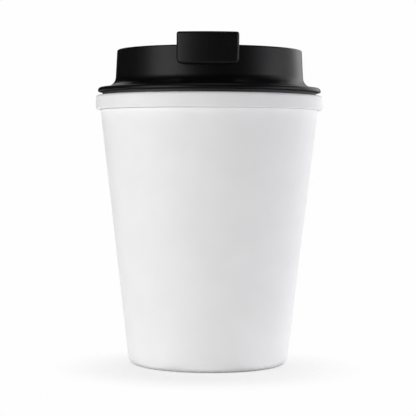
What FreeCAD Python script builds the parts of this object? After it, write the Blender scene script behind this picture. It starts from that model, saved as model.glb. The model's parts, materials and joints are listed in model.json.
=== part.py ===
import FreeCAD
import Part
import Sketcher
import math
import os
import re

# A reusable takeaway coffee cup with a screw lid and a flip closure, in millimetres.
#
# The cup is two moulded shells. The outer shell carries the tapered wall and the foot ring.
# The inner cup hangs in it with an air gap between them, and its collar closes that gap at
# the top: the collar rests on the shell's neck, and its skirt is the band that shows.
# The lid screws into the mouth of the inner cup on a three-start thread, and a flat ring
# seals it on the rim. Its raised rim has the drinking slot and a small vent under the flap.
# The flap turns on two stub pins in ears behind the rim. It holds a soft stopper that plugs
# the slot and the vent, and its tab hangs over the front of the lid for the thumb.
#
# The axis of the cup is Z, the foot stands on Z = 0, and the tab faces -Y.

SIZES = {
    # cup, outside
    "cup_height": 109.0,
    "band_diameter": 92.0,
    "band_height": 5.8,
    "band_top_round": 1.6,
    "band_foot_round": 1.0,
    "band_wall": 1.8,
    "base_diameter": 64.4,
    "base_round": 3.0,
    "foot_width": 7.0,
    "foot_recess": 1.2,
    "foot_edge_round": 0.5,
    # cup, inside
    "shell_wall": 1.8,
    "shell_floor_round": 2.0,
    "liner_wall": 1.8,
    "liner_floor_round": 6.0,
    "air_gap": 2.2,
    "floor_gap": 2.5,
    "neck_gap": 1.9,
    "skirt_clearance": 0.1,
    "mouth_lip_round": 0.5,
    "mouth_runout": 1.5,
    # thread between inner cup and lid
    "thread_starts": 3,
    "thread_pitch": 4.5,
    "thread_arc": 150.0,
    "thread_height": 1.2,
    "thread_root": 2.2,
    "thread_crest": 1.1,
    "thread_inset": 2.8,
    "thread_clearance": 0.4,
    "flank_clearance": 0.25,
    "thread_embed": 0.3,
    # seal between rim and lid
    "seal_thickness": 1.3,
    "seal_inset": 2.6,
    "seal_clearance": 0.3,
    "seal_round": 0.35,
    # lid
    "lid_height": 17.0,
    "lid_wall": 1.8,
    "wall_draft": 0.75,
    "flange_inset": 0.8,
    "flange_width": 7.0,
    "flange_thickness": 1.7,
    "flange_rise": 0.9,
    "flange_fillet": 4.0,
    "nose_flat": 0.1,
    "rim_width": 8.0,
    "rim_round": 0.9,
    "rim_inner_round": 1.2,
    "deck_depth": 8.0,
    "deck_round": 1.5,
    "hollow_round": 0.8,
    "plug_margin": 0.6,
    "plug_edge_round": 0.6,
    # drinking slot and vent
    "slot_length": 13.0,
    "slot_width": 4.4,
    "slot_corner": 1.8,
    "vent_diameter": 2.0,
    "vent_offset": 8.7,
    # hinge
    "pivot_diameter": 3.0,
    "pivot_clearance": 0.06,
    "pivot_inset": 5.15,
    "pivot_drop": 3.8,
    "ear_radius": 3.0,
    "ear_thickness": 3.0,
    "ear_gap": 0.2,
    "ear_embed": 0.6,
    "barrel_width": 16.8,
    # flap
    "flap_width": 24.0,
    "flap_rise": 4.8,
    "flap_gap": 0.3,
    "flap_corner": 1.2,
    "flap_edge_round": 0.9,
    "flap_side_wall": 1.4,
    "flap_back_overhang": 1.5,
    "flap_back_step": 2.2,
    "tab_drop": 7.6,
    "tab_wall": 2.0,
    "tab_gap": 0.3,
    "tab_corner": 2.0,
    # stopper
    "stopper_thickness": 2.8,
    "stopper_clearance": 0.3,
    "plug_depth": 2.2,
    "plug_taper": 20.0,
    "nub_depth": 1.2,
    "nub_tip_radius": 0.4,
    "nub_clearance": 0.2,
}

# Places that follow from the sizes. A name in a formula is a size or another place.
PLACES = {
    "band_foot": "cup_height - band_height",
    "collar_seat": "cup_height - liner_wall",
    "skirt_radius": "band_diameter / 2 - band_wall",
    "neck_radius": "skirt_radius - skirt_clearance",
    "shell_flare": "(neck_radius - base_diameter / 2) / band_foot",
    "shell_floor": "foot_recess + shell_wall",
    "shell_inner_floor_radius": "base_diameter / 2 + shell_flare * shell_floor - shell_wall",
    "foot_inner_radius": "base_diameter / 2 - foot_width",
    "liner_under": "shell_floor + floor_gap",
    "liner_floor": "liner_under + liner_wall",
    "liner_outer_floor_radius": "base_diameter / 2 + shell_flare * liner_floor - shell_wall - air_gap",
    "liner_floor_radius": "liner_outer_floor_radius - liner_wall",
    "mouth_radius": "neck_radius - shell_wall - neck_gap - liner_wall",
    "thread_lead": "thread_pitch * thread_starts",
    "thread_climb": "thread_lead * thread_arc / 360",
    "female_start": "cup_height - thread_inset - thread_climb",
    "male_start": "female_start - (thread_root + thread_crest) / 2 - flank_clearance",
    "plug_radius": "mouth_radius - thread_height - thread_clearance",
    "plug_foot": "male_start - thread_root / 2 - plug_margin",
    "mouth_foot": "plug_foot - mouth_runout",
    "seal_inner_radius": "plug_radius + seal_clearance",
    "seal_outer_radius": "band_diameter / 2 - seal_inset",
    "flange_foot": "cup_height + seal_thickness",
    "flange_top": "flange_foot + flange_thickness + flange_rise",
    "flange_radius": "band_diameter / 2 - flange_inset",
    "nose_round": "(flange_thickness - nose_flat) / 2",
    "lid_foot_radius": "flange_radius - flange_width",
    "lid_top": "flange_foot + lid_height",
    "deck_top": "lid_top - deck_depth",
    "rim_radius": "lid_foot_radius - wall_draft",
    "rim_inner_radius": "rim_radius - rim_width",
    "rim_middle_radius": "rim_radius - rim_width / 2",
    "vent_forward": "sqrt(rim_middle_radius ^ 2 - vent_offset ^ 2)",
    "pivot_forward": "rim_inner_radius - pivot_inset",
    "pivot_height": "lid_top - pivot_drop",
    "bore_radius": "pivot_diameter / 2 + pivot_clearance",
    "ear_inner": "barrel_width / 2 + ear_gap",
    "ear_outer": "ear_inner + ear_thickness",
    "flap_top": "lid_top + flap_rise",
    "flap_under": "lid_top + flap_gap",
    "flap_back": "pivot_forward + flap_back_overhang",
    "tab_foot": "lid_top - tab_drop",
    "tab_inner_radius": "lid_foot_radius + tab_gap",
    "tab_outer_radius": "tab_inner_radius + tab_wall",
    "stopper_top": "lid_top + stopper_thickness",
    "pocket_inner_radius": "rim_inner_radius + rim_inner_round - stopper_clearance",
    "pocket_outer_radius": "rim_radius - rim_round + stopper_clearance",
    "pocket_half_width": "flap_width / 2 - flap_side_wall",
}

REACH = 10.0  # how far a cut runs past the solid that it trims
ON_SURFACE = 1e-4  # how near a point lies to a surface to count as on it

doc = FreeCAD.newDocument("coffee_cup")
sheet = doc.addObject("Spreadsheet::Sheet", "sizes")


def fill_sheet():
    """One row for each driving size: its name, and its value under that alias."""
    for row, (name, value) in enumerate(SIZES.items(), start=1):
        sheet.set(f"A{row}", name)
        sheet.set(f"B{row}", str(value))
        sheet.setAlias(f"B{row}", name)
    doc.recompute()


def bound(formula):
    """The formula as an expression on the sheet's cells, with each place written out."""

    def write_out(match):
        word = match.group(0)
        if word in PLACES:
            return f"({bound(PLACES[word])})"
        return f"sizes.{word}" if word in SIZES else word

    return re.sub(r"[a-z]+(_[a-z]+)*", write_out, formula)


def value(formula):
    return float(sheet.evalExpression(bound(formula)))


def settle(feature):
    """Recomputes, and makes sure that the feature added to the solid or cut something from it."""
    doc.recompute()
    base = feature.BaseFeature.Shape.Volume if feature.BaseFeature else 0
    if abs(feature.Shape.Volume - base) < ON_SURFACE:
        raise RuntimeError(f"{feature.Name} changes nothing")
    return feature


def new_body(label):
    body = doc.addObject("PartDesign::Body", label)
    body.Label = label
    return body


def origin_plane(body, role):
    return next(f for f in body.Origin.OriginFeatures if f.Role == role)


def new_sketch(body, name, role, offset="0"):
    """A sketch on one of the body's own origin planes, moved along the plane's normal."""
    sketch = body.newObject("Sketcher::SketchObject", name)
    sketch.AttachmentSupport = [(origin_plane(body, role), "")]
    sketch.MapMode = "FlatFace"
    if offset != "0":
        sketch.setExpression("AttachmentOffset.Base.z", bound(offset))
    return sketch


def bind(sketch, constraint, formula):
    """Adds a dimension to the sketch and ties it to the sheet."""
    index = sketch.addConstraint(constraint)
    sketch.setExpression(f"Constraints[{index}]", bound(formula))


def pin_point(sketch, geometry, point, across, up):
    """Holds one point of the sketch at (across, up), which are formulas."""
    for formula, kind, axis in ((across, "DistanceX", -2), (up, "DistanceY", -1)):
        if formula == "0":
            sketch.addConstraint(Sketcher.Constraint("PointOnObject", geometry, point, axis))
        else:
            place = value(formula)
            bind(sketch, Sketcher.Constraint(kind, -1, 1, geometry, point, place), formula)


def rounded_corner(before, corner, after, radius):
    """Where an arc leaves the two sides of a corner, and the arc itself."""
    to_before = (before - corner).normalize()
    to_after = (after - corner).normalize()
    half_angle = to_before.getAngle(to_after) / 2
    tangent = radius / math.tan(half_angle)
    centre = corner + (to_before + to_after).normalize() * (radius / math.sin(half_angle))
    middle = centre + (corner - centre).normalize() * radius
    start = corner + to_before * tangent
    end = corner + to_after * tangent
    return start, end, Part.Arc(start, middle, end)


def outline(sketch, corners):
    """A closed outline of straight sides. A corner is (across, up) or (across, up, round)."""
    points = [FreeCAD.Vector(value(c[0]), value(c[1]), 0) for c in corners]
    count = len(points)
    ends = []
    arcs = {}
    for i, corner in enumerate(corners):
        if len(corner) == 3:
            radius = value(corner[2])
            start, end, arc = rounded_corner(points[i - 1], points[i], points[(i + 1) % count], radius)
            arcs[i] = arc
            ends.append((start, end))
        else:
            ends.append((points[i], points[i]))
    sides = []
    for i in range(count):
        line = Part.LineSegment(ends[i][1], ends[(i + 1) % count][0])
        sides.append(sketch.addGeometry(line, False))
    for i, corner in enumerate(corners):
        before, after = sides[i - 1], sides[i]
        if i not in arcs:
            sketch.addConstraint(Sketcher.Constraint("Coincident", before, 2, after, 1))
            pin_point(sketch, after, 1, corner[0], corner[1])
            continue
        arc = sketch.addGeometry(arcs[i], False)
        # the sketch keeps every arc anticlockwise, so either end can be the one it starts from
        first = 1 if sketch.getPoint(arc, 1).isEqual(ends[i][0], ON_SURFACE) else 2
        tip = sketch.addGeometry(Part.Point(points[i]), True)
        pin_point(sketch, tip, 1, corner[0], corner[1])
        sketch.addConstraint(Sketcher.Constraint("PointOnObject", tip, 1, before))
        sketch.addConstraint(Sketcher.Constraint("PointOnObject", tip, 1, after))
        sketch.addConstraint(Sketcher.Constraint("Tangent", before, 2, arc, first))
        sketch.addConstraint(Sketcher.Constraint("Tangent", after, 1, arc, 3 - first))
        bind(sketch, Sketcher.Constraint("Radius", arc, value(corner[2])), corner[2])


def circle(sketch, across, up, radius):
    centre = FreeCAD.Vector(value(across), value(up), 0)
    normal = FreeCAD.Vector(0, 0, 1)
    index = sketch.addGeometry(Part.Circle(centre, normal, value(radius)), False)
    pin_point(sketch, index, 3, across, up)
    bind(sketch, Sketcher.Constraint("Radius", index, value(radius)), radius)


def front_sector(sketch, inner_radius, outer_radius, half_width):
    """A piece of a ring about the cup's axis, on its front side, with parallel ends."""
    half = value(half_width)
    arcs = []
    corners = []
    for formula in (inner_radius, outer_radius):
        radius = value(formula)
        left, right = (FreeCAD.Vector(s * half, -math.sqrt(radius**2 - half**2), 0) for s in (-1, 1))
        arc = sketch.addGeometry(Part.Arc(left, FreeCAD.Vector(0, -radius, 0), right), False)
        sketch.addConstraint(Sketcher.Constraint("Coincident", arc, 3, -1, 1))
        bind(sketch, Sketcher.Constraint("Radius", arc, radius), formula)
        arcs.append(arc)
        corners.append((left, right))
    for side, sign in ((0, "-"), (1, "")):
        line = Part.LineSegment(corners[0][side], corners[1][side])
        end = sketch.addGeometry(line, False)
        sketch.addConstraint(Sketcher.Constraint("Coincident", end, 1, arcs[0], side + 1))
        sketch.addConstraint(Sketcher.Constraint("Coincident", end, 2, arcs[1], side + 1))
        for point in (1, 2):
            place = f"{sign}({half_width})"
            bind(sketch, Sketcher.Constraint("DistanceX", -1, 1, end, point, value(place)), place)


def turned(body, kind, name, corners):
    """Turns an outline, given as radius and height, once round the cup's axis."""
    sketch = new_sketch(body, f"{name}_outline", "XZ_Plane")
    outline(sketch, corners)
    feature = body.newObject(f"PartDesign::{kind}", name)
    feature.Profile = sketch
    feature.ReferenceAxis = (sketch, ["V_Axis"])
    feature.Angle = 360
    return settle(feature)


def extruded(body, kind, name, sketch, length, both_ways=False, reverse=False):
    feature = body.newObject(f"PartDesign::{kind}", name)
    feature.Profile = sketch
    feature.setExpression("Length", bound(length))
    feature.SideType = "Symmetric" if both_ways else "One side"
    feature.Reversed = reverse
    return settle(feature)


def thread(body, name, corners):
    """One helical rib from its section, repeated for each start of the thread."""
    sketch = new_sketch(body, f"{name}_section", "XZ_Plane")
    outline(sketch, corners)
    rib = body.newObject("PartDesign::AdditiveHelix", name)
    rib.Profile = sketch
    rib.ReferenceAxis = (sketch, ["V_Axis"])
    rib.Mode = "pitch-turns-angle"
    rib.setExpression("Pitch", bound("thread_lead"))
    rib.setExpression("Turns", bound("thread_arc / 360"))
    doc.recompute()
    ribs = body.newObject("PartDesign::PolarPattern", f"{name}_starts")
    ribs.Originals = [rib]
    ribs.Axis = (sketch, ["V_Axis"])
    ribs.Angle = 360
    ribs.setExpression("Occurrences", bound("thread_starts"))
    body.Tip = ribs
    settle(ribs)


def rounded_edges(body, name, chosen, radius):
    """Rounds the edges of the body's last feature that the test picks."""
    last = body.Tip
    picked = [f"Edge{i}" for i, edge in enumerate(last.Shape.Edges, start=1) if chosen(edge)]
    feature = body.newObject("PartDesign::Fillet", name)
    feature.Base = (last, picked)
    feature.setExpression("Radius", bound(radius))
    settle(feature)


def edge_points(edge):
    """The edge's ends and its middle."""
    first, last = edge.FirstParameter, edge.LastParameter
    return [edge.valueAt(first + (last - first) * share) for share in (0, 0.5, 1)]


def make_outer_shell():
    """Tapered wall with a rounded foot ring, and a straight neck that goes up inside the band."""
    body = new_body("outer_shell")
    turned(body, "Revolution", "shell_wall_and_foot", [
        ("foot_inner_radius", "0", "foot_edge_round"),
        ("base_diameter / 2", "0", "base_round"),
        ("neck_radius", "band_foot"),
        ("neck_radius", "collar_seat"),
        ("neck_radius - shell_wall", "collar_seat"),
        ("neck_radius - shell_wall", "band_foot"),
        ("shell_inner_floor_radius", "shell_floor", "shell_floor_round"),
        ("0", "shell_floor"),
        ("0", "foot_recess"),
        ("foot_inner_radius", "foot_recess", "foot_edge_round"),
    ])
    return body


def make_inner_cup():
    """The vessel that holds the drink, with its collar, band and inside thread."""
    body = new_body("inner_cup")
    turned(body, "Revolution", "liner_and_collar", [
        ("0", "liner_under"),
        ("liner_outer_floor_radius", "liner_under", "liner_floor_round + liner_wall"),
        ("mouth_radius + liner_wall", "mouth_foot"),
        ("mouth_radius + liner_wall", "collar_seat"),
        ("skirt_radius", "collar_seat"),
        ("skirt_radius", "band_foot"),
        ("band_diameter / 2", "band_foot", "band_foot_round"),
        ("band_diameter / 2", "cup_height", "band_top_round"),
        ("mouth_radius", "cup_height", "mouth_lip_round"),
        ("mouth_radius", "mouth_foot"),
        ("liner_floor_radius", "liner_floor", "liner_floor_round"),
        ("0", "liner_floor"),
    ])
    thread(body, "mouth_thread", [
        ("mouth_radius + thread_embed", "female_start - thread_root / 2"),
        ("mouth_radius + thread_embed", "female_start + thread_root / 2"),
        ("mouth_radius - thread_height", "female_start + thread_crest / 2"),
        ("mouth_radius - thread_height", "female_start - thread_crest / 2"),
    ])
    return body


def make_lid():
    """Flange, upright wall, raised rim, sunken deck, and the threaded plug below."""
    body = new_body("lid")
    turned(body, "Revolution", "lid_section", [
        ("0", "deck_top - lid_wall"),
        ("rim_inner_radius + lid_wall", "deck_top - lid_wall", "hollow_round"),
        ("rim_inner_radius + lid_wall", "lid_top - lid_wall"),
        ("rim_radius - lid_wall", "lid_top - lid_wall"),
        ("lid_foot_radius - lid_wall", "flange_top"),
        ("plug_radius - lid_wall", "flange_foot"),
        ("plug_radius - lid_wall", "plug_foot"),
        ("plug_radius", "plug_foot", "plug_edge_round"),
        ("plug_radius", "flange_foot"),
        ("flange_radius", "flange_foot", "nose_round"),
        ("flange_radius", "flange_foot + flange_thickness", "nose_round"),
        ("lid_foot_radius", "flange_top", "flange_fillet"),
        ("rim_radius", "lid_top", "rim_round"),
        ("rim_inner_radius", "lid_top", "rim_inner_round"),
        ("rim_inner_radius", "deck_top", "deck_round"),
        ("0", "deck_top"),
    ])
    add_openings(body)
    add_ears(body)
    thread(body, "plug_thread", [
        ("plug_radius - thread_embed", "male_start - thread_root / 2"),
        ("plug_radius - thread_embed", "male_start + thread_root / 2"),
        ("plug_radius + thread_height", "male_start + thread_crest / 2"),
        ("plug_radius + thread_height", "male_start - thread_crest / 2"),
    ])
    return body


def slot_corners(margin):
    """The drinking slot's corners, drawn in by a margin on each side."""
    across = f"slot_length / 2 - {margin}"
    front = f"-rim_middle_radius - slot_width / 2 + {margin}"
    back = f"-rim_middle_radius + slot_width / 2 - {margin}"
    corner = f"slot_corner - {margin}"
    return [
        (f"-({across})", front, corner),
        (across, front, corner),
        (across, back, corner),
        (f"-({across})", back, corner),
    ]


def add_openings(body):
    """The drinking slot and the vent, through the top of the rim."""
    slot = new_sketch(body, "slot_outline", "XY_Plane", "lid_top")
    outline(slot, slot_corners("0"))
    extruded(body, "Pocket", "drinking_slot", slot, "lid_wall * 2")
    vent = new_sketch(body, "vent_outline", "XY_Plane", "lid_top")
    circle(vent, "vent_offset", "-vent_forward", "vent_diameter / 2")
    extruded(body, "Pocket", "vent", vent, "lid_wall * 2")


def add_ears(body):
    """Two ears on the deck, mirrored, with one bore through both."""
    leg = new_sketch(body, "ear_leg_outline", "YZ_Plane", "ear_inner")
    outline(leg, [
        ("-pivot_forward - ear_radius", "deck_top - ear_embed"),
        ("-pivot_forward + ear_radius", "deck_top - ear_embed"),
        ("-pivot_forward + ear_radius", "pivot_height"),
        ("-pivot_forward - ear_radius", "pivot_height"),
    ])
    legs = extruded(body, "Pad", "ear_leg", leg, "ear_thickness")
    head = new_sketch(body, "ear_head_outline", "YZ_Plane", "ear_inner")
    circle(head, "-pivot_forward", "pivot_height", "ear_radius")
    heads = extruded(body, "Pad", "ear_head", head, "ear_thickness")
    ears = body.newObject("PartDesign::Mirrored", "ears")
    ears.Originals = [legs, heads]
    ears.MirrorPlane = (origin_plane(body, "YZ_Plane"), [""])
    body.Tip = ears
    settle(ears)
    bore = new_sketch(body, "bore_outline", "YZ_Plane")
    circle(bore, "-pivot_forward", "pivot_height", "bore_radius")
    extruded(body, "Pocket", "pivot_bore", bore, "2 * ear_outer + ear_gap", both_ways=True)


def make_lid_seal():
    """Flat soft ring round the plug, between the cup's rim and the flange."""
    body = new_body("lid_seal")
    turned(body, "Revolution", "seal_ring", [
        ("seal_inner_radius", "cup_height"),
        ("seal_outer_radius", "cup_height", "seal_round"),
        ("seal_outer_radius", "flange_foot", "seal_round"),
        ("seal_inner_radius", "flange_foot"),
    ])
    return body


def make_flap():
    """Hooded lever: a block over the rim, a curved tab in front, a barrel and two stub pins."""
    body = new_body("flap")
    front = new_sketch(body, "front_outline", "XZ_Plane", "flap_back")
    outline(front, [
        ("-flap_width / 2", "tab_foot", "tab_corner"),
        ("flap_width / 2", "tab_foot", "tab_corner"),
        ("flap_width / 2", "flap_top", "flap_corner"),
        ("-flap_width / 2", "flap_top", "flap_corner"),
    ])
    extruded(body, "Pad", "block", front, f"tab_outer_radius + {REACH} - flap_back")
    turned(body, "Groove", "curved_front", [
        ("tab_outer_radius", f"tab_foot - {REACH}"),
        (f"tab_outer_radius + 2 * {REACH}", f"tab_foot - {REACH}"),
        (f"tab_outer_radius + 2 * {REACH}", f"flap_top + {REACH}"),
        ("tab_outer_radius", f"flap_top + {REACH}"),
    ])
    rounded_edges(body, "front_edges", on_tab_front, "flap_edge_round")
    rounded_edges(body, "back_edges", on_flap_back, "flap_edge_round")
    turned(body, "Groove", "rim_clearance", [
        ("0", f"tab_foot - {REACH}"),
        ("tab_inner_radius", f"tab_foot - {REACH}"),
        ("tab_inner_radius", "flap_under"),
        ("0", "flap_under"),
    ])
    arm = new_sketch(body, "arm_outline", "YZ_Plane")
    outline(arm, [
        ("-pivot_forward - ear_radius", "pivot_height"),
        ("-pivot_forward + ear_radius", "pivot_height"),
        ("-flap_back", "flap_top - flap_back_step"),
        ("-pivot_forward - ear_radius", "flap_top - flap_back_step"),
    ])
    extruded(body, "Pad", "arm", arm, "barrel_width", both_ways=True)
    barrel = new_sketch(body, "barrel_outline", "YZ_Plane")
    circle(barrel, "-pivot_forward", "pivot_height", "ear_radius")
    extruded(body, "Pad", "barrel", barrel, "barrel_width", both_ways=True)
    pins = new_sketch(body, "pin_outline", "YZ_Plane")
    circle(pins, "-pivot_forward", "pivot_height", "pivot_diameter / 2")
    extruded(body, "Pad", "stub_pins", pins, "2 * ear_outer", both_ways=True)
    pocket = new_sketch(body, "pocket_outline", "XY_Plane", "stopper_top")
    front_sector(pocket, "pocket_inner_radius", "pocket_outer_radius", "pocket_half_width")
    extruded(body, "Pocket", "stopper_pocket", pocket, "stopper_thickness")
    return body


def on_tab_front(edge):
    """The edges that surround the tab's curved front face."""
    radius = value("tab_outer_radius")
    return all(abs(math.hypot(p.x, p.y) - radius) < ON_SURFACE for p in edge_points(edge))


def on_flap_back(edge):
    """The top edge of the block's back face, its two corners and its sides."""
    back, corner = -value("flap_back"), value("flap_top - flap_corner")
    points = edge_points(edge)
    on_face = all(abs(p.y - back) < ON_SURFACE for p in points)
    return on_face and max(p.z for p in points) > corner - ON_SURFACE


def make_stopper():
    """Soft pad under the flap, with a tapered plug for the slot and a nub for the vent."""
    body = new_body("stopper")
    pad = new_sketch(body, "pad_outline", "XY_Plane", "lid_top")
    front_sector(
        pad,
        "pocket_inner_radius + stopper_clearance",
        "pocket_outer_radius - stopper_clearance",
        "pocket_half_width - stopper_clearance",
    )
    extruded(body, "Pad", "pad", pad, "stopper_thickness")
    plug = new_sketch(body, "plug_outline", "XY_Plane", "lid_top")
    outline(plug, slot_corners("stopper_clearance"))
    tapered = extruded(body, "Pad", "slot_plug", plug, "plug_depth", reverse=True)
    tapered.setExpression("TaperAngle", bound("-plug_taper"))
    doc.recompute()
    nub = body.newObject("PartDesign::AdditiveCone", "vent_nub")
    nub.AttachmentSupport = [(origin_plane(body, "XY_Plane"), "")]
    nub.MapMode = "FlatFace"
    nub.setExpression("AttachmentOffset.Base.x", bound("vent_offset"))
    nub.setExpression("AttachmentOffset.Base.y", bound("-vent_forward"))
    nub.setExpression("AttachmentOffset.Base.z", bound("lid_top - nub_depth"))
    nub.setExpression("Radius1", bound("nub_tip_radius"))
    nub.setExpression("Radius2", bound("vent_diameter / 2 - nub_clearance"))
    nub.setExpression("Height", bound("nub_depth"))
    settle(nub)
    return body


def export(bodies):
    """Checks every object of the document and every solid, then writes one file for each."""
    doc.recompute()
    for item in doc.Objects:
        if "Invalid" in item.State or "Error" in item.State:
            raise RuntimeError(f"{item.Name} failed: {item.State}")
    os.makedirs("parts", exist_ok=True)
    for body in bodies:
        shape = body.Shape
        if shape.isNull() or not shape.isValid() or len(shape.Solids) != 1:
            raise RuntimeError(f"{body.Label} is not one valid solid")
    for body in bodies:
        shape = body.Shape
        shape.exportStep(f"parts/{body.Label}.step")
        print(f"{body.Label}: {shape.Volume / 1000:.2f} cm3, {len(shape.Faces)} faces")


fill_sheet()
export([
    make_outer_shell(),
    make_inner_cup(),
    make_lid(),
    make_lid_seal(),
    make_flap(),
    make_stopper(),
])
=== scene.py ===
import json
import math

import bmesh
import bpy
from mathutils import Matrix, Vector


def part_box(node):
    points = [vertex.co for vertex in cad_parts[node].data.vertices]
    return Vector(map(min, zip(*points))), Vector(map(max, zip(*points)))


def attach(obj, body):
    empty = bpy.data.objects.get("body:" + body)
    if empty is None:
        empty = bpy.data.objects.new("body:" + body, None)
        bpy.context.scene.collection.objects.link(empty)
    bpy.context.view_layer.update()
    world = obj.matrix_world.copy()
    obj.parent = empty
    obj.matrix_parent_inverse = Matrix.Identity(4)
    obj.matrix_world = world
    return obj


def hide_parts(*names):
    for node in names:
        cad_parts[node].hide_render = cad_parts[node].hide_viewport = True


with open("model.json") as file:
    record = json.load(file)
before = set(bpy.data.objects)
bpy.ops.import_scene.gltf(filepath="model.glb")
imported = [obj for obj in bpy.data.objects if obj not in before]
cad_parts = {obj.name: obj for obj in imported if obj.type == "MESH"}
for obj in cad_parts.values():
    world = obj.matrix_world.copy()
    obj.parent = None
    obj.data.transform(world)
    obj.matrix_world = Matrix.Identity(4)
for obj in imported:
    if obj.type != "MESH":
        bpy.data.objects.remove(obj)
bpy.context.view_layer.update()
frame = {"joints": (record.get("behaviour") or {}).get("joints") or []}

MM = 0.001

# The cup stands on Z = 0 and the tab of its closure faces -Y. All sizes are in metres.
# The main sizes come from the solids, and the walls and edges are those of the mouldings.
band_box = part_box("inner_cup")
shell_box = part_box("outer_shell")
seal_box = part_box("lid_seal")
lid_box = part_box("lid")
flap_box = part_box("flap")
stopper_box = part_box("stopper")

WALL = 1.8 * MM
SMALL_EDGE = 0.35 * MM
SAME_PLACE = 0.001 * MM

# band, neck and skirt
CUP_TOP = band_box[1].z
BAND_RADIUS = band_box[1].x
BAND_FOOT = CUP_TOP - 5.8 * MM
BAND_TOP_ROUND = 1.2 * MM
BAND_FOOT_ROUND = 0.35 * MM
SKIRT_ROUND = 0.2 * MM
MOUTH_ROUND = 0.5 * MM
NECK_RADIUS = BAND_RADIUS - 1.9 * MM
SEAM = 0.15 * MM
SEAM_DEPTH = 0.4 * MM
SKIRT_RADIUS = BAND_RADIUS - 1.8 * MM
COLLAR_SEAT = shell_box[1].z

# foot of the outer shell
BASE_RADIUS = 32.2 * MM
BASE_ROUND = 3.0 * MM
FOOT_WIDTH = 7.0 * MM
FOOT_RECESS = 1.2 * MM
FOOT_EDGE_ROUND = 0.5 * MM
SHELL_FLOOR = FOOT_RECESS + WALL
SHELL_FLOOR_RADIUS = 30.74 * MM
SHELL_FLOOR_ROUND = 2.0 * MM

# inner cup
LINER_UNDER = band_box[0].z
LINER_FLOOR = LINER_UNDER + WALL
LINER_OUTER_RADIUS = 29.04 * MM
LINER_FLOOR_RADIUS = LINER_OUTER_RADIUS - WALL
LINER_FLOOR_ROUND = 6.0 * MM
MOUTH_RADIUS = 38.6 * MM
MOUTH_FOOT = 95.475 * MM

# thread between the inner cup and the lid
THREAD_STARTS = 3
THREAD_ARC = math.radians(150)
THREAD_LEAD = 13.5 * MM
THREAD_HEIGHT = 1.2 * MM
THREAD_ROOT = 2.2 * MM
THREAD_CREST = 1.1 * MM
THREAD_SOFT = 0.3 * MM
THREAD_FADE = 0.1
MOUTH_THREAD_FOOT = 100.575 * MM
PLUG_THREAD_FOOT = 98.675 * MM

# lid
PLUG_RADIUS = 37.0 * MM
PLUG_FOOT = lid_box[0].z
PLUG_INNER_ROUND = 0.4 * MM
PLUG_OUTER_ROUND = 0.6 * MM
FLANGE_FOOT = seal_box[1].z
FLANGE_RADIUS = lid_box[1].x
FLANGE_THICKNESS = 1.7 * MM
FLANGE_TOP = FLANGE_FOOT + 2.6 * MM
FLANGE_FILLET = 4.0 * MM
NOSE_FOOT_ROUND = 0.4 * MM
NOSE_TOP_ROUND = 1.25 * MM
LID_FOOT_RADIUS = 38.2 * MM
LID_TOP = lid_box[1].z
RIM_RADIUS = 37.45 * MM
RIM_WIDTH = 8.0 * MM
RIM_INNER_RADIUS = RIM_RADIUS - RIM_WIDTH
RIM_MIDDLE = RIM_RADIUS - RIM_WIDTH / 2
RIM_ROUND = 0.9 * MM
RIM_EDGE = 0.65 * MM
RIM_INNER_ROUND = 1.2 * MM
RIM_HOLLOW_ROUND = 0.3 * MM
LID_HOLLOW_ROUND = 0.8 * MM
DECK = LID_TOP - 8.0 * MM
DECK_ROUND = 1.5 * MM

# drinking slot and vent
SLOT_LENGTH = 13.0 * MM
SLOT_WIDTH = 4.4 * MM
SLOT_CORNER = 1.8 * MM
VENT_RADIUS = 1.0 * MM
VENT_OFFSET = 8.7 * MM
VENT_FORWARD = math.sqrt(RIM_MIDDLE ** 2 - VENT_OFFSET ** 2)
HOLE_LIP = 0.4 * MM

# ears, pins and barrel
pivot = next(joint["pos_m"] for joint in frame["joints"] if joint["name"] == "flap_open")
PIVOT_Y, PIVOT_Z = pivot[1], pivot[2]
PIN_RADIUS = 1.5 * MM
PIN_END_ROUND = 0.25 * MM
PIN_SHORT_OF_EAR = 0.2 * MM
BORE_RADIUS = 1.56 * MM
EAR_RADIUS = 3.0 * MM
EAR_FLARE = 0.8 * MM
EAR_SUNK = 0.4 * MM
EAR_INNER = 8.6 * MM
EAR_OUTER = 11.6 * MM
BARREL_HALF_WIDTH = 8.4 * MM

# flap: the rounding of the tab's lower corners fades out between the low and the high
FLAP_HALF_WIDTH = flap_box[1].x
FLAP_TOP = flap_box[1].z
FLAP_UNDER = LID_TOP + 0.3 * MM
FLAP_BACK = -25.8 * MM
TAB_FOOT = flap_box[0].z
TAB_OUTER_RADIUS = -flap_box[0].y
TAB_INNER_RADIUS = TAB_OUTER_RADIUS - 2.0 * MM
TAB_CORNER = 2.2 * MM
TAB_CORNER_LOW = TAB_FOOT + TAB_CORNER + MM
TAB_CORNER_HIGH = TAB_FOOT + TAB_CORNER + 4 * MM
TAB_LIP_ROUND = 0.5 * MM
FLAP_EDGE = 0.95 * MM
FLAP_INNER_EDGE = 0.3 * MM
FLAP_UNDER_ROUND = 0.4 * MM
ARM_TOP = FLAP_TOP - 2.2 * MM

# stopper and its pocket in the flap
STOPPER_TOP = stopper_box[1].z
STOPPER_GAP = 0.3 * MM
POCKET_CORNER = 0.6 * MM
POCKET_INNER_RADIUS = RIM_INNER_RADIUS + RIM_INNER_ROUND - STOPPER_GAP
POCKET_OUTER_RADIUS = RIM_RADIUS - RIM_ROUND + STOPPER_GAP
POCKET_HALF_WIDTH = FLAP_HALF_WIDTH - 1.4 * MM
PLUG_DEPTH = 2.2 * MM
PLUG_TAPER = math.radians(20)
NUB_DEPTH = 1.2 * MM
NUB_RADIUS = 0.8 * MM
NUB_TIP_RADIUS = 0.4 * MM
PLUG_TIP_ROUND = 0.25 * MM

# seal
SEAL_INNER_RADIUS = PLUG_RADIUS + 0.3 * MM
SEAL_OUTER_RADIUS = seal_box[1].x
SEAL_INNER_ROUND = 0.2 * MM

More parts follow.
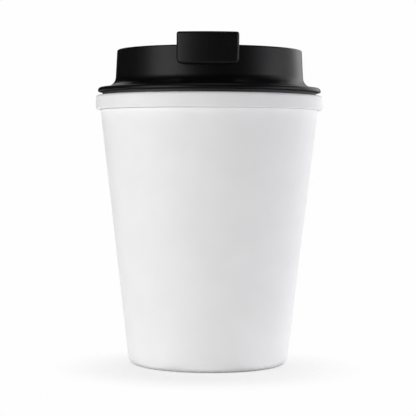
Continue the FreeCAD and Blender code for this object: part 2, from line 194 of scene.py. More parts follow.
# how finely the round shapes are divided, and the angle from which an edge is sharp
AROUND = 192
FINE_STEPS = 10
ROUND_STEPS = 6
TIP_STEPS = 5
SHARP = math.radians(40)

# how far a patch of the grain goes from the gloss of the body to that of the rubbed marks
PATCH_SHARE = 0.3

# The white of the studio and of the table. Near the cup a share of the lit table shows, whole
# up to the near distance from a point before the cup's axis, and gone at the far one.
PAPER = (0.99, 0.99, 0.99, 1)
TABLE_WHITE = (0.9, 0.9, 0.9, 1)
TABLE_REACH = 3.0
LIT_SHARE = 0.25
SHADOW_FORWARD = 13 * MM
SHADOW_NEAR = 29 * MM
SHADOW_FAR = 66 * MM
PLAIN_LIGHT = (1, 1, 1)
COOL_LIGHT = (0.94, 0.94, 1)

# name, azimuth, distance, height, width, tall, power, colour
SOFTBOXES = (
    ("overhead_softbox", 0, 0.02, 1.1, 0.5, 0.5, 1.7, PLAIN_LIGHT),
    ("high_back_softbox", 178, 0.8, 0.7, 0.9, 0.6, 3.2, PLAIN_LIGHT),
    ("left_softbox", -50, 0.9, 0.25, 0.7, 0.45, 5.1, PLAIN_LIGHT),
    ("low_right_softbox", 78, 0.9, 0.12, 0.5, 0.22, 2.5, COOL_LIGHT),
    ("right_softbox", 104, 0.9, 0.35, 0.5, 0.6, 1.5, PLAIN_LIGHT),
    ("back_right_softbox", 140, 0.9, 0.3, 0.5, 0.5, 2.1, PLAIN_LIGHT),
)


def turn(vector, angle):
    """A flat vector, turned anticlockwise."""
    cos, sin = math.cos(angle), math.sin(angle)
    return Vector((vector.x * cos - vector.y * sin, vector.x * sin + vector.y * cos))


def rounded(corners, steps=ROUND_STEPS):
    """The points of a closed outline. A corner is (across, up) or (across, up, round)."""
    places = [Vector(corner[:2]) for corner in corners]
    points = []
    for i, corner in enumerate(corners):
        here = places[i]
        if len(corner) == 2:
            points.append(here)
            continue
        back = (places[i - 1] - here).normalized()
        ahead = (places[(i + 1) % len(places)] - here).normalized()
        half_angle = back.angle(ahead) / 2
        tangent = corner[2] / math.tan(half_angle)
        centre = here + (back + ahead).normalized() * (corner[2] / math.sin(half_angle))
        arm = here + back * tangent - centre
        side = 1 if back.x * ahead.y - back.y * ahead.x < 0 else -1
        sweep = side * (math.pi - 2 * half_angle)
        points += [centre + turn(arm, sweep * step / steps) for step in range(steps + 1)]
    return points


def make_solid(name, bm):
    """Turns a finished mesh into a smooth-shaded object."""
    bmesh.ops.remove_doubles(bm, verts=bm.verts, dist=SAME_PLACE)
    bmesh.ops.recalc_face_normals(bm, faces=bm.faces)
    mesh = bpy.data.meshes.new(name)
    bm.to_mesh(mesh)
    bm.free()
    mesh.shade_smooth()
    mesh.set_sharp_from_angle(angle=SHARP)
    solid = bpy.data.objects.new(name, mesh)
    bpy.context.scene.collection.objects.link(solid)
    return solid


def make_piece(name, bm, body, slot, material, *nodes):
    """A piece of the cup, made of a finished mesh, that rides on a body and replaces the nodes."""
    piece = make_solid(name, bm)
    piece.data.materials.append(material)
    weigh_normals(piece)
    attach(piece, body)
    if nodes:
        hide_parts(*nodes)
    return piece


def weigh_normals(piece):
    """Large flat faces keep their flat shading, and the rounds between them carry the turn."""
    weigh = piece.modifiers.new("weigh_normals", "WEIGHTED_NORMAL")
    weigh.keep_sharp = True


def revolve(bm, outline):
    """Adds a closed outline of (radius, height) points, turned round the Z axis."""
    rings = []
    for point in outline:
        if point.x < SAME_PLACE:
            rings.append([bm.verts.new((0, 0, point.y))] * AROUND)
            continue
        angles = (2 * math.pi * i / AROUND for i in range(AROUND))
        places = ((point.x * math.cos(a), point.x * math.sin(a), point.y) for a in angles)
        rings.append([bm.verts.new(place) for place in places])
    for low, high in zip(rings, rings[1:] + rings[:1]):
        for i in range(AROUND):
            j = (i + 1) % AROUND
            corners = list(dict.fromkeys((low[i], low[j], high[j], high[i])))
            if len(corners) > 2:
                bm.faces.new(corners)


def skin(bm, rings):
    """Adds the surface through a row of closed rings with as many points each, and its two ends."""
    rows = [[bm.verts.new(point) for point in ring] for ring in rings]
    for low, high in zip(rows, rows[1:]):
        for i in range(len(low)):
            j = (i + 1) % len(low)
            bm.faces.new((low[i], low[j], high[j], high[i]))
    bm.faces.new(rows[0])
    bm.faces.new(rows[-1])


def thread(bm, radius, inward, foot):
    """The ribs of a screw thread. Each swells out of the wall and dies away into it again."""
    stations = 60
    for start in range(THREAD_STARTS):
        rings = []
        for station in range(stations + 1):
            share = station / stations
            swell = min(1, share / THREAD_FADE, (1 - share) / THREAD_FADE)
            swell = math.sin(swell * math.pi / 2)
            angle = 2 * math.pi * start / THREAD_STARTS + THREAD_ARC * share
            height = foot + THREAD_LEAD * THREAD_ARC / (2 * math.pi) * share
            rings.append([
                Vector((r * math.cos(angle), r * math.sin(angle), height + up * swell))
                for r, up in thread_section(radius, inward, swell)
            ])
        skin(bm, rings)


def thread_section(radius, inward, swell):
    """A rounded rib section as (radius, height above the rib's middle)."""
    side = -1 if inward else 1
    root, crest, out = THREAD_ROOT / 2, THREAD_CREST / 2, THREAD_HEIGHT * swell
    soft = THREAD_SOFT
    profile = [
        (-soft, -root),
        (0, -root),
        (out - soft * swell, -crest - soft / 3),
        (out, -crest + soft),
        (out, crest - soft),
        (out - soft * swell, crest + soft / 3),
        (0, root),
        (-soft, root),
    ]
    return [(radius + side * r, up) for r, up in profile]


def section_normals(section):
    """The outward normal at each point of a closed outline that runs anticlockwise."""
    normals = []
    for i, point in enumerate(section):
        back = (point - section[i - 1]).normalized()
        ahead = (section[(i + 1) % len(section)] - point).normalized()
        along = (back + ahead).normalized()
        normals.append(Vector((along.y, -along.x)))
    return normals


def bar_across(bm, section, edges, low, high, bend=None, middles=1):
    """A solid bar along X with rounded ends. The section is (y, z) points, each with its end round.

    bend moves a finished point, and middles is the number of stations between the two ends.
    """
    normals = section_normals(section)
    widest = max(edges)
    stations = [(low, -1, step / ROUND_STEPS) for step in range(ROUND_STEPS, -1, -1)]
    for middle in range(1, middles):
        share = middle / middles
        stations.append((low + widest + (high - low - 2 * widest) * share, 0, 0))
    stations += [(high, 1, step / ROUND_STEPS) for step in range(ROUND_STEPS + 1)]
    rings = []
    for end, side, turned in stations:
        ring = []
        for point, normal, edge in zip(section, normals, edges):
            angle = turned * math.pi / 2
            x = end - side * edge * (1 - math.sin(angle))
            place = point - normal * edge * (1 - math.cos(angle)) if side else point
            corner = Vector((x, place.x, place.y))
            ring.append(bend(corner) if bend else corner)
        rings.append(ring)
    skin(bm, rings)


def slot_outline(margin):
    """The drinking slot seen from above, drawn in by a margin all round."""
    across = SLOT_LENGTH / 2 - margin
    front = -RIM_MIDDLE - SLOT_WIDTH / 2 + margin
    back = -RIM_MIDDLE + SLOT_WIDTH / 2 - margin
    corner = SLOT_CORNER - margin
    corners = [(-across, front), (across, front), (across, back), (-across, back)]
    return rounded([(x, y, corner) for x, y in corners])


def vent_outline(radius):
    """The vent beside the slot, seen from above."""
    sides = 32
    points = []
    for i in range(sides):
        angle = 2 * math.pi * i / sides
        x, y = VENT_OFFSET + radius * math.cos(angle), radius * math.sin(angle) - VENT_FORWARD
        points.append(Vector((x, y)))
    return points


def sector_outline(margin):
    """The stopper's pad seen from above: a piece of a ring with parallel, rounded ends."""
    inner, outer = POCKET_INNER_RADIUS + margin, POCKET_OUTER_RADIUS - margin
    half_width = POCKET_HALF_WIDTH - margin
    half_steps = 12
    points = []
    for radius, side in ((outer, 1), (inner, -1)):
        for step in range(2 * half_steps + 1):
            x = side * half_width * (step / half_steps - 1)
            points.append(Vector((x, -math.sqrt(radius ** 2 - x ** 2))))
    return soften(points, POCKET_CORNER)


def soften(points, reach):
    """Pulls the sharp corners of an outline in, on a curve that starts a short reach away."""
    sharp, nearly = math.radians(30), 0.95
    softened = []
    for i, point in enumerate(points):
        back = points[i - 1] - point
        ahead = points[(i + 1) % len(points)] - point
        if abs(math.pi - back.angle(ahead)) < sharp:
            softened.append(point)
            continue
        first = point + back.normalized() * min(reach, back.length * nearly)
        last = point + ahead.normalized() * min(reach, ahead.length * nearly)
        for step in range(ROUND_STEPS + 1):
            share = step / ROUND_STEPS
            softened.append(first.lerp(point, share).lerp(point.lerp(last, share), share))
    return softened


def stack(bm, layers):
    """A solid from flat outlines, each given with its height."""
    skin(bm, [[Vector((p.x, p.y, height)) for p in outline] for outline, height in layers])


def cut(piece, cutter):
    """Cuts one mesh out of another and keeps the result as the piece's own mesh."""
    difference = piece.modifiers.new("cut", "BOOLEAN")
    difference.operation = "DIFFERENCE"
    difference.solver = "EXACT"
    difference.object = cutter
    for modifier in list(piece.modifiers):
        modifier.show_viewport = modifier == difference
    bpy.context.view_layer.update()
    ready = piece.evaluated_get(bpy.context.evaluated_depsgraph_get())
    mesh = bpy.data.meshes.new_from_object(ready)
    piece.modifiers.remove(difference)
    for modifier in piece.modifiers:
        modifier.show_viewport = True
    piece.data = mesh
    mesh.set_sharp_from_angle(angle=SHARP)
    bpy.data.objects.remove(cutter)


def make_cutter(layers):
    """A solid that another piece is cut with."""
    bm = bmesh.new()
    stack(bm, layers)
    return make_solid("cutter", bm)


def make_outer_shell(material):
    """Tapered wall and foot ring, with a fine seam under the band.

    The gate mark is a small dish in the middle of the recess, with the stub of the gate in it.
    """
    flare = (NECK_RADIUS - BASE_RADIUS) / BAND_FOOT
    dish_radius, dish_slope, dish_round = 2.0 * MM, 0.3 * MM, 0.15 * MM
    dish_floor = FOOT_RECESS + 0.25 * MM
    stub_tip_radius, stub_radius, stub_round = 0.7 * MM, 0.8 * MM, 0.1 * MM
    stub_tip = FOOT_RECESS - 0.4 * MM
    outline = rounded([
        (BASE_RADIUS - FOOT_WIDTH, 0, FOOT_EDGE_ROUND),
        (BASE_RADIUS, 0, BASE_ROUND),
        (BASE_RADIUS + flare * BAND_FOOT / 2, BAND_FOOT / 2),
        (NECK_RADIUS, BAND_FOOT - SEAM),
        (NECK_RADIUS - SEAM_DEPTH, BAND_FOOT - SEAM),
        (NECK_RADIUS - SEAM_DEPTH, COLLAR_SEAT),
        (NECK_RADIUS - WALL, COLLAR_SEAT),
        (NECK_RADIUS - WALL, BAND_FOOT),
        (SHELL_FLOOR_RADIUS, SHELL_FLOOR, SHELL_FLOOR_ROUND),
        (0, SHELL_FLOOR),
        (0, stub_tip),
        (stub_tip_radius, stub_tip, stub_round),
        (stub_radius, dish_floor, stub_round),
        (dish_radius - dish_slope, dish_floor, dish_round),
        (dish_radius, FOOT_RECESS, dish_round),
        (BASE_RADIUS - FOOT_WIDTH, FOOT_RECESS, FOOT_EDGE_ROUND),
    ])
    bm = bmesh.new()
    revolve(bm, outline)
    make_piece("outer_shell_moulding", bm, "cup", "white_plastic", material, "outer_shell")


def make_inner_cup(material):
    """The vessel with its collar and band, and the thread inside its mouth."""
    outline = rounded([
        (0, LINER_UNDER),
        (LINER_OUTER_RADIUS, LINER_UNDER, LINER_FLOOR_ROUND + WALL),
        (MOUTH_RADIUS + WALL, MOUTH_FOOT),
        (MOUTH_RADIUS + WALL, COLLAR_SEAT),
        (SKIRT_RADIUS, COLLAR_SEAT),
        (SKIRT_RADIUS, BAND_FOOT, SKIRT_ROUND),
        (BAND_RADIUS, BAND_FOOT, BAND_FOOT_ROUND),
        (BAND_RADIUS, CUP_TOP, BAND_TOP_ROUND),
        (MOUTH_RADIUS, CUP_TOP, MOUTH_ROUND),
        (MOUTH_RADIUS, MOUTH_FOOT),
        (LINER_FLOOR_RADIUS, LINER_FLOOR, LINER_FLOOR_ROUND),
        (0, LINER_FLOOR),
    ], FINE_STEPS)
    bm = bmesh.new()
    revolve(bm, outline)
    thread(bm, MOUTH_RADIUS, True, MOUTH_THREAD_FOOT)
    make_piece("inner_cup_moulding", bm, "cup", "white_plastic", material, "inner_cup")


def make_seal(material):
    """Flat ring whose rounded outer edge shows under the flange."""
    outline = rounded([
        (SEAL_INNER_RADIUS, CUP_TOP, SEAL_INNER_ROUND),
        (SEAL_OUTER_RADIUS, CUP_TOP, SMALL_EDGE),
        (SEAL_OUTER_RADIUS, FLANGE_FOOT, SMALL_EDGE),
        (SEAL_INNER_RADIUS, FLANGE_FOOT, SEAL_INNER_ROUND),
    ])
    bm = bmesh.new()
    revolve(bm, outline)
    make_piece("lid_seal_ring", bm, "seal", "silicone", material, "lid_seal")


def make_lid(material):
    """Flange, upright wall, raised rim, sunken deck and threaded plug, with its two holes."""
    outline = rounded([
        (0, DECK - WALL),
        (RIM_INNER_RADIUS + WALL, DECK - WALL, LID_HOLLOW_ROUND),
        (RIM_INNER_RADIUS + WALL, LID_TOP - WALL, RIM_HOLLOW_ROUND),
        (RIM_RADIUS - WALL, LID_TOP - WALL, RIM_HOLLOW_ROUND),
        (LID_FOOT_RADIUS - WALL, FLANGE_TOP, LID_HOLLOW_ROUND),
        (PLUG_RADIUS - WALL, FLANGE_FOOT, LID_HOLLOW_ROUND),
        (PLUG_RADIUS - WALL, PLUG_FOOT, PLUG_INNER_ROUND),
        (PLUG_RADIUS, PLUG_FOOT, PLUG_OUTER_ROUND),
        (PLUG_RADIUS, FLANGE_FOOT),
        (FLANGE_RADIUS, FLANGE_FOOT, NOSE_FOOT_ROUND),
        (FLANGE_RADIUS, FLANGE_FOOT + FLANGE_THICKNESS, NOSE_TOP_ROUND),
        (LID_FOOT_RADIUS, FLANGE_TOP, FLANGE_FILLET),
        (RIM_RADIUS, LID_TOP, RIM_EDGE),
        (RIM_INNER_RADIUS, LID_TOP, RIM_INNER_ROUND),
        (RIM_INNER_RADIUS, DECK, DECK_ROUND),
        (0, DECK),
    ], FINE_STEPS)
    bm = bmesh.new()
    revolve(bm, outline)
    lid = make_piece("lid_moulding", bm, "lid", "black_plastic", material, "lid")
    cut(lid, make_cutter(lipped(slot_outline)))
    cut(lid, make_cutter(lipped(lambda margin: vent_outline(VENT_RADIUS - margin))))
    bm = bmesh.new()
    thread(bm, PLUG_RADIUS, False, PLUG_THREAD_FOOT)
    make_piece("lid_thread", bm, "lid", "black_plastic", material)


def lipped(outline):
    """The layers of a hole through the rim whose upper edge is rounded over."""
    just_over = 0.02 * MM
    layers = [(outline(0), LID_TOP - 2 * WALL)]
    for step in range(ROUND_STEPS + 1):
        angle = step / ROUND_STEPS * math.pi / 2
        height = LID_TOP + just_over - HOLE_LIP * (1 - math.sin(angle))
        layers.append((outline(-HOLE_LIP * (1 - math.cos(angle))), height))
    layers.append((outline(-HOLE_LIP), LID_TOP + WALL))
    return layers


def make_ears(material):
    """Two ears on the deck with a bore through both, for the closure's pins."""
    centre, radius = Vector((PIVOT_Y, PIVOT_Z)), Vector((EAR_RADIUS, 0))
    steps = 24
    head = [centre + turn(radius, math.pi * step / steps) for step in range(steps + 1)]
    reach = EAR_RADIUS + EAR_FLARE
    below = [Vector((PIVOT_Y + side * reach, DECK - EAR_SUNK)) for side in (-1, 1)]
    section = below + rounded_foot(1) + head + rounded_foot(-1)[::-1]
    edges = [SMALL_EDGE] * len(section)
    for name, side in (("ear_left", -1), ("ear_right", 1)):
        low, high = sorted((side * EAR_INNER, side * EAR_OUTER))
        bm = bmesh.new()
        bar_across(bm, section, edges, low, high)
        ear = make_piece(name, bm, "lid", "black_plastic", material)
        bm = bmesh.new()
        across_x(bm, BORE_RADIUS, low - MM, high + MM, 0)
        cut(ear, make_solid("cutter", bm))


def rounded_foot(side):
    """The hollow curve where one side of an ear runs out onto the deck."""
    centre = Vector((PIVOT_Y + side * (EAR_RADIUS + EAR_FLARE), DECK + EAR_FLARE))
    angles = (math.pi / 2 * step / TIP_STEPS for step in range(TIP_STEPS + 1))
    arms = (Vector((side * EAR_FLARE * math.sin(a), EAR_FLARE * math.cos(a))) for a in angles)
    return [centre - arm for arm in arms]


def across_x(bm, radius, low, high, edge):
    """A round bar on the pivot's axis, with rounded ends where edge is more than nothing."""
    sides = 48
    section = []
    for i in range(sides):
        angle = 2 * math.pi * i / sides
        y, z = PIVOT_Y + radius * math.cos(angle), PIVOT_Z + radius * math.sin(angle)
        section.append(Vector((y, z)))
    bar_across(bm, section, [edge] * len(section), low, high)


def make_flap(material):
    """The hooded closure: plate and tab in one bend, arm and barrel behind, two stub pins."""
    corners = [
        (-TAB_OUTER_RADIUS, TAB_FOOT, FLAP_EDGE),
        (-TAB_INNER_RADIUS, TAB_FOOT, TAB_LIP_ROUND),
        (-TAB_INNER_RADIUS, FLAP_UNDER, FLAP_UNDER_ROUND),
        (FLAP_BACK, FLAP_UNDER, FLAP_UNDER_ROUND),
        (FLAP_BACK, FLAP_TOP, FLAP_EDGE),
        (-TAB_OUTER_RADIUS, FLAP_TOP, FLAP_EDGE),
    ]
    section = divided(rounded(corners, steps=8))
    edges = [flap_edge(point) for point in section]
    low, high = -FLAP_HALF_WIDTH, FLAP_HALF_WIDTH
    bm = bmesh.new()
    bar_across(bm, section, edges, low, high, bend_round_lid, middles=28)
    flap = make_piece("flap_hood", bm, "flap", "black_plastic", material, "flap")
    pocket = sector_outline(0)
    cut(flap, make_cutter([(pocket, FLAP_UNDER - MM), (pocket, STOPPER_TOP)]))
    make_arm(material)


def divided(section):
    """The section with its long straight stretches divided, so that a bend can follow them."""
    longest = 1.2 * MM
    points = []
    for i, point in enumerate(section):
        ahead = section[(i + 1) % len(section)]
        pieces = max(1, math.ceil((ahead - point).length / longest))
        points += [point.lerp(ahead, piece / pieces) for piece in range(pieces)]
    return points


def flap_edge(point):
    """How round the flap's sides are: full outside, and small where the lid is near."""
    off_tab = point.x < -TAB_INNER_RADIUS - 0.8 * MM
    off_plate = point.y > FLAP_UNDER + 1.5 * MM
    return FLAP_EDGE if off_tab or off_plate else FLAP_INNER_EDGE


def bend_round_lid(corner):
    """Curves the tab round the lid's axis, and rounds the two lower corners of its front."""
    x, y, z = corner
    bent_away = -y - math.sqrt(y * y - x * x)
    forward = (FLAP_BACK - y) / (FLAP_BACK + TAB_INNER_RADIUS)
    y += bent_away * min(1, max(0, forward))
    beyond = abs(x) - (FLAP_HALF_WIDTH - TAB_CORNER)
    if beyond > 0 and z < TAB_CORNER_HIGH:
        lift = TAB_CORNER - math.sqrt(TAB_CORNER ** 2 - min(beyond, TAB_CORNER) ** 2)
        z += lift * min(1, (TAB_CORNER_HIGH - z) / (TAB_CORNER_HIGH - TAB_CORNER_LOW))
    return Vector((x, y, z))


def make_arm(material):
    """The arm behind the hood ends in a barrel, with a stub pin at each end of it."""
    just_inside = 0.1 * MM
    top = Vector((FLAP_BACK - just_inside, ARM_TOP))
    centre = Vector((PIVOT_Y, PIVOT_Z))
    reach = top - centre
    tangent = math.atan2(reach.y, reach.x) - math.acos(EAR_RADIUS / reach.length)
    start = -math.pi
    sweep = tangent - start
    radius, steps = Vector((EAR_RADIUS, 0)), 32
    barrel = [centre + turn(radius, start + sweep * step / steps) for step in range(steps + 1)]
    section = barrel + [top, Vector((PIVOT_Y - EAR_RADIUS, top.y))]
    edges = [SMALL_EDGE] * len(section)
    bm = bmesh.new()
    bar_across(bm, section, edges, -BARREL_HALF_WIDTH, BARREL_HALF_WIDTH)
    for side in (-1, 1):
        root, end = BARREL_HALF_WIDTH - MM, EAR_OUTER - PIN_SHORT_OF_EAR
        low, high = sorted((side * root, side * end))
        across_x(bm, PIN_RADIUS, low, high, PIN_END_ROUND)
    make_piece("flap_arm", bm, "flap", "black_plastic", material)


def make_stopper(material):
    """Soft pad in the flap, with a tapered plug for the slot and a nub for the vent."""
    pad = []
    for step in range(TIP_STEPS, -1, -1):
        angle = math.pi / 2 * step / TIP_STEPS
        outline = sector_outline(STOPPER_GAP + SMALL_EDGE * (1 - math.cos(angle)))
        pad.append((outline, LID_TOP + SMALL_EDGE * (1 - math.sin(angle))))
    pad.append((sector_outline(STOPPER_GAP), STOPPER_TOP))
    bm = bmesh.new()
    stack(bm, pad)
    stack(bm, tapered(slot_outline, STOPPER_GAP, PLUG_DEPTH, PLUG_DEPTH * math.tan(PLUG_TAPER)))
    nub_taper = NUB_RADIUS - NUB_TIP_RADIUS
    nub = tapered(lambda margin: vent_outline(NUB_RADIUS - margin), 0, NUB_DEPTH, nub_taper)
    stack(bm, nub)
    make_piece("stopper_pad", bm, "flap", "silicone", material, "stopper")


def tapered(outline, margin, depth, taper):
    """The layers of a plug that narrows as it goes down from the rim and ends in a rounded tip."""
    root, tip = 0.5 * MM, PLUG_TIP_ROUND
    layers = [(outline(margin), LID_TOP + root), (outline(margin), LID_TOP)]
    for step in range(TIP_STEPS + 1):
        angle = math.pi / 2 * step / TIP_STEPS
        down = depth - tip * (1 - math.sin(angle))
        drawn_in = margin + taper * down / depth + tip * (1 - math.cos(angle))
        layers.append((outline(drawn_in), LID_TOP - down))
    return layers


def new_group(name, inputs, outputs):
    """A shader node group of plain values: its inputs with their defaults, and its outputs."""
    group = bpy.data.node_groups.new(name, "ShaderNodeTree")
    kind = "NodeSocketFloat"
    for label, default in inputs.items():
        socket = group.interface.new_socket(label, in_out="INPUT", socket_type=kind)
        socket.default_value = default
    for label in outputs:
        group.interface.new_socket(label, in_out="OUTPUT", socket_type=kind)
    return group, group.nodes.new("NodeGroupInput"), group.nodes.new("NodeGroupOutput")


def math_node(tree, operation, first, second):
    """A Math node. Each input is a number or the socket that feeds it."""
    node = tree.nodes.new("ShaderNodeMath")
    node.operation = operation
    for socket, given in zip(node.inputs, (first, second)):
        if isinstance(given, (int, float)):
            socket.default_value = given
        else:
            tree.links.new(given, socket)
    return node.outputs[0]


def noise(tree, place, size, detail):
    """Noise over the surface, about 0.5, whose features are about as large as size in metres."""
    node = tree.nodes.new("ShaderNodeTexNoise")
    node.inputs["Detail"].default_value = detail
    tree.links.new(place, node.inputs["Vector"])
    tree.links.new(math_node(tree, "DIVIDE", 1, size), node.inputs["Scale"])
    return node.outputs["Fac"]


def spread(tree, value, low, high):
    """A mask that goes from 0 to 1 as the value goes from low to high."""
    node = tree.nodes.new("ShaderNodeMapRange")
    node.interpolation_type = "SMOOTHSTEP"
    node.inputs["From Min"].default_value = low
    node.inputs["From Max"].default_value = high
    tree.links.new(value, node.inputs["Value"])
    return node.outputs["Result"]


def make_grain_group():
    """The skin of a spark-eroded mould: a fine pebble grain, in broad patches that differ."""
    group, given, result = new_group(
        "moulded_grain", {"Grain Size": 0.3 * MM, "Patch Size": 12 * MM}, ("Grain", "Patches")
    )
    place = group.nodes.new("ShaderNodeTexCoord").outputs["Object"]
    grain = noise(group, place, given.outputs["Grain Size"], detail=3)
    group.links.new(grain, result.inputs["Grain"])
    patches = noise(group, place, given.outputs["Patch Size"], detail=4)
    group.links.new(spread(group, patches, low=0.3, high=0.7), result.inputs["Patches"])
    return group


def make_rubbed_group():
    """Where hands and tables rub a moulding: short faint marks, in a band near one height."""
    group, given, result = new_group(
        "rubbed_marks", {"Height": 0.0, "Reach": 4 * MM, "Amount": 0.5}, ("Marks",)
    )
    place = group.nodes.new("ShaderNodeTexCoord").outputs["Object"]
    parts = group.nodes.new("ShaderNodeSeparateXYZ")
    group.links.new(place, parts.inputs["Vector"])
    away = math_node(group, "SUBTRACT", parts.outputs["Z"], given.outputs["Height"])
    away = math_node(group, "DIVIDE", math_node(group, "ABSOLUTE", away, 0), given.outputs["Reach"])
    near = math_node(group, "MAXIMUM", math_node(group, "SUBTRACT", 1, away), 0)
    stretched = group.nodes.new("ShaderNodeMapping")
    stretched.inputs["Scale"].default_value = (1, 1, 6)
    group.links.new(place, stretched.inputs["Vector"])
    streaks = noise(group, stretched.outputs["Vector"], 5 * MM, detail=5)
    streaks = spread(group, streaks, low=0.5, high=0.72)
    marks = math_node(group, "MULTIPLY", near, streaks)
    marks = math_node(group, "MULTIPLY", marks, given.outputs["Amount"])
    group.links.new(marks, result.inputs["Marks"])
    return group


def place_group(tree, group, **values):
    """Places a group in a material, with its own values for the inputs."""
    node = tree.nodes.new("ShaderNodeGroup")
    node.node_tree = group
    for name, given in values.items():
        node.inputs[name.replace("_", " ").title()].default_value = given
    return node


def mix_colour(tree, mask, first, second):
    """Goes from the first colour to the second as the mask goes from 0 to 1."""
    node = tree.nodes.new("ShaderNodeMix")
    node.data_type = "RGBA"
    tree.links.new(mask, node.inputs["Factor"])
    for socket, given in ((node.inputs["A"], first), (node.inputs["B"], second)):
        if isinstance(given, tuple):
            socket.default_value = given
        else:
            tree.links.new(given, socket)
    return node.outputs["Result"]


def moulded_finish(name, colours, gloss, grain, rubbed, specular=0.5):
    """A moulded plastic or rubber finish.

    colours are the body colour, its faint patches and its rubbed marks. gloss is the roughness
    of the body and of the marks. grain is its size, its depth and the size of its patches, and
    rubbed is the height of the rubbed band, its reach and its amount.
    """
    material = bpy.data.materials.new(name)
    material.use_nodes = True
    tree = material.node_tree
    shader = tree.nodes["Principled BSDF"]
    shader.inputs["Specular IOR Level"].default_value = specular
    grain_size, grain_depth, patch_size = grain
    height, reach, amount = rubbed
    pebbles = place_group(tree, grain_group, grain_size=grain_size, patch_size=patch_size)
    marks = place_group(tree, rubbed_group, height=height, reach=reach, amount=amount)
    body, patch, mark = (colour + (1.0,) for colour in colours)
    tone = mix_colour(tree, pebbles.outputs["Patches"], body, patch)
    tone = mix_colour(tree, marks.outputs["Marks"], tone, mark)
    tree.links.new(tone, shader.inputs["Base Color"])
    rough = tree.nodes.new("ShaderNodeMapRange")
    rough.inputs["To Min"].default_value, rough.inputs["To Max"].default_value = gloss
    uneven = math_node(tree, "MULTIPLY", pebbles.outputs["Patches"], PATCH_SHARE)
    tree.links.new(math_node(tree, "ADD", uneven, marks.outputs["Marks"]), rough.inputs["Value"])
    tree.links.new(rough.outputs["Result"], shader.inputs["Roughness"])
    bump = tree.nodes.new("ShaderNodeBump")
    bump.inputs["Strength"].default_value = 1.0
    bump.inputs["Distance"].default_value = grain_depth
    tree.links.new(pebbles.outputs["Grain"], bump.inputs["Height"])
    tree.links.new(bump.outputs["Normal"], shader.inputs["Normal"])
    return material


grain_group = make_grain_group()
rubbed_group = make_rubbed_group()

WHITE_PLASTIC = moulded_finish(
    "white_plastic",
    colours=((0.80, 0.80, 0.80), (0.78, 0.78, 0.78), (0.70, 0.69, 0.68)),
    gloss=(0.58, 0.46),
    grain=(0.35 * MM, 0.012 * MM, 14 * MM),
    rubbed=(0.0, 5 * MM, 0.35),
    specular=0.2,
)
BLACK_PLASTIC = moulded_finish(
    "black_plastic",
    colours=((0.0020, 0.0020, 0.0021), (0.0026, 0.0026, 0.0027), (0.012, 0.012, 0.012)),
    gloss=(0.41, 0.35),
    grain=(0.30 * MM, 0.015 * MM, 9 * MM),
    rubbed=(LID_TOP, 3 * MM, 0.3),
    specular=0.16,
)
SILICONE = moulded_finish(
    "silicone",
    colours=((0.030, 0.030, 0.031), (0.036, 0.036, 0.037), (0.06, 0.06, 0.06)),
    gloss=(0.62, 0.75),
    grain=(0.20 * MM, 0.006 * MM, 6 * MM),
    rubbed=(CUP_TOP, 2 * MM, 0.2),
)


def round_the_cup(azimuth, distance, height):
    """A place at a distance from the cup's axis. Azimuth 0 is in front, a quarter turn is right."""
    return Vector((distance * math.sin(azimuth), -distance * math.cos(azimuth), height))


def make_camera():
    """Stands in front of the cup, a little to its right and a little above its middle."""
    distance, height, side_step = 620 * MM, 84.7 * MM, -0.3 * MM
    azimuth, pitch, roll = math.radians(1.0), math.radians(1.97), math.radians(0.3)
    data = bpy.data.cameras.new("camera")
    data.sensor_width = 36
    data.lens = 131.6
    data.dof.use_dof = False
    camera = bpy.data.objects.new("camera", data)
    camera.location = round_the_cup(azimuth, distance, height) + Vector((side_step, 0, 0))
    facing = Matrix.Rotation(azimuth, 3, "Z") @ Matrix.Rotation(math.pi / 2 - pitch, 3, "X")
    camera.rotation_euler = (facing @ Matrix.Rotation(roll, 3, "Z")).to_euler()
    bpy.context.scene.collection.objects.link(camera)
    bpy.context.scene.camera = camera


def lamp(name, width, tall, power, place, facing, colour=PLAIN_LIGHT):
    """A soft rectangular lamp that the camera doesn't see."""
    data = bpy.data.lights.new(name, "AREA")
    data.shape = "RECTANGLE"
    data.size = width
    data.size_y = tall
    data.energy = power
    data.color = colour
    panel = bpy.data.objects.new(name, data)
    panel.visible_camera = False
    panel.location = place
    panel.rotation_euler = facing
    bpy.context.scene.collection.objects.link(panel)


def softbox(name, azimuth, distance, height, width, tall, power, colour):
    """An upright lamp that faces the middle of the cup. The azimuth is in degrees."""
    place = round_the_cup(math.radians(azimuth), distance, height)
    aim = Vector((0, 0, CUP_TOP / 2)) - place
    facing = aim.to_track_quat("-Z", "Y").to_euler()
    lamp(name, width, tall, power, place, facing, colour)


def table_panel(name, azimuth, near, far, width, strength):
    """A lamp that lies flat on the table, between two distances from the cup, and faces up."""
    above_table = 0.2 * MM
    angle = math.radians(azimuth)
    place = round_the_cup(angle, (near + far) / 2, above_table)
    power = math.pi * width * (far - near) * strength
    lamp(name, width, far - near, power, place, (math.pi, 0, angle))


def table_panels(near, far, strength):
    """Lamps round the cup's foot that light it from below: four large ones and four corner ones."""
    for side, azimuth, width in (
        ("front", 0, 2 * far),
        ("back", 180, 2 * far),
        ("right", 90, 2 * near),
        ("left", -90, 2 * near),
    ):
        table_panel(side + "_table_panel", azimuth, near, far, width, strength)
    corner = near * math.tan(math.radians(22.5))
    for side, azimuth in (
        ("front_right", 45),
        ("back_right", 135),
        ("back_left", -135),
        ("front_left", -45),
    ):
        table_panel(side + "_corner_panel", azimuth, near, near + corner, 2 * corner, strength)


def make_world():
    """The plain white studio that the camera sees. It gives the cup no light."""
    world = bpy.data.worlds.new("studio")
    bpy.context.scene.world = world
    world.use_nodes = True
    tree = world.node_tree
    background = tree.nodes["Background"]
    background.inputs["Color"].default_value = PAPER
    seen = tree.nodes.new("ShaderNodeLightPath").outputs["Is Camera Ray"]
    tree.links.new(seen, background.inputs["Strength"])


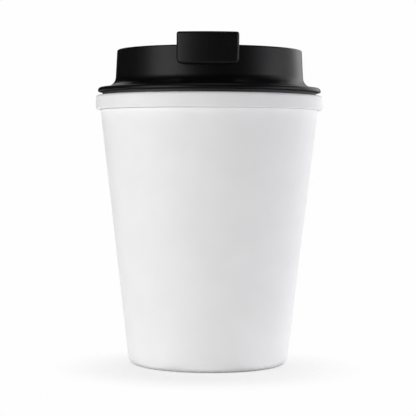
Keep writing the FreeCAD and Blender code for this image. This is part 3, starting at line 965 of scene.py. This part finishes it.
def make_floor():
    """A wide white table. Away from the cup its shading fades into the white of the studio."""
    bm = bmesh.new()
    bmesh.ops.create_grid(bm, x_segments=1, y_segments=1, size=TABLE_REACH)
    mesh = bpy.data.meshes.new("floor")
    bm.to_mesh(mesh)
    bm.free()
    floor = bpy.data.objects.new("floor", mesh)
    bpy.context.scene.collection.objects.link(floor)
    material = bpy.data.materials.new("floor_paper")
    material.use_nodes = True
    tree = material.node_tree
    seen = tree.nodes.new("ShaderNodeLightPath").outputs["Is Camera Ray"]
    shader = tree.nodes["Principled BSDF"]
    shader.inputs["Base Color"].default_value = TABLE_WHITE
    shader.inputs["Roughness"].default_value = 0.9
    shader.inputs["Specular IOR Level"].default_value = 0
    plain = tree.nodes.new("ShaderNodeEmission")
    plain.inputs["Color"].default_value = PAPER
    away = tree.nodes.new("ShaderNodeVectorMath")
    away.operation = "DISTANCE"
    away.inputs[1].default_value = (0, -SHADOW_FORWARD, 0)
    tree.links.new(tree.nodes.new("ShaderNodeTexCoord").outputs["Object"], away.inputs[0])
    far = spread(tree, away.outputs["Value"], SHADOW_NEAR, SHADOW_FAR)
    share = math_node(tree, "MULTIPLY", far, LIT_SHARE)
    share = math_node(tree, "ADD", share, 1 - LIT_SHARE)
    mixed = tree.nodes.new("ShaderNodeMixShader")
    tree.links.new(math_node(tree, "MULTIPLY", share, seen), mixed.inputs["Fac"])
    tree.links.new(shader.outputs[0], mixed.inputs[1])
    tree.links.new(plain.outputs[0], mixed.inputs[2])
    tree.links.new(mixed.outputs[0], tree.nodes["Material Output"].inputs["Surface"])
    mesh.materials.append(material)


bpy.context.scene.view_settings.view_transform = "Standard"
make_camera()
make_world()
make_floor()
for softbox_values in SOFTBOXES:
    softbox(*softbox_values)
table_panels(near=33 * MM, far=600 * MM, strength=0.5)

make_outer_shell(WHITE_PLASTIC)
make_inner_cup(WHITE_PLASTIC)
make_seal(SILICONE)
make_lid(BLACK_PLASTIC)
make_ears(BLACK_PLASTIC)
make_flap(BLACK_PLASTIC)
make_stopper(SILICONE)
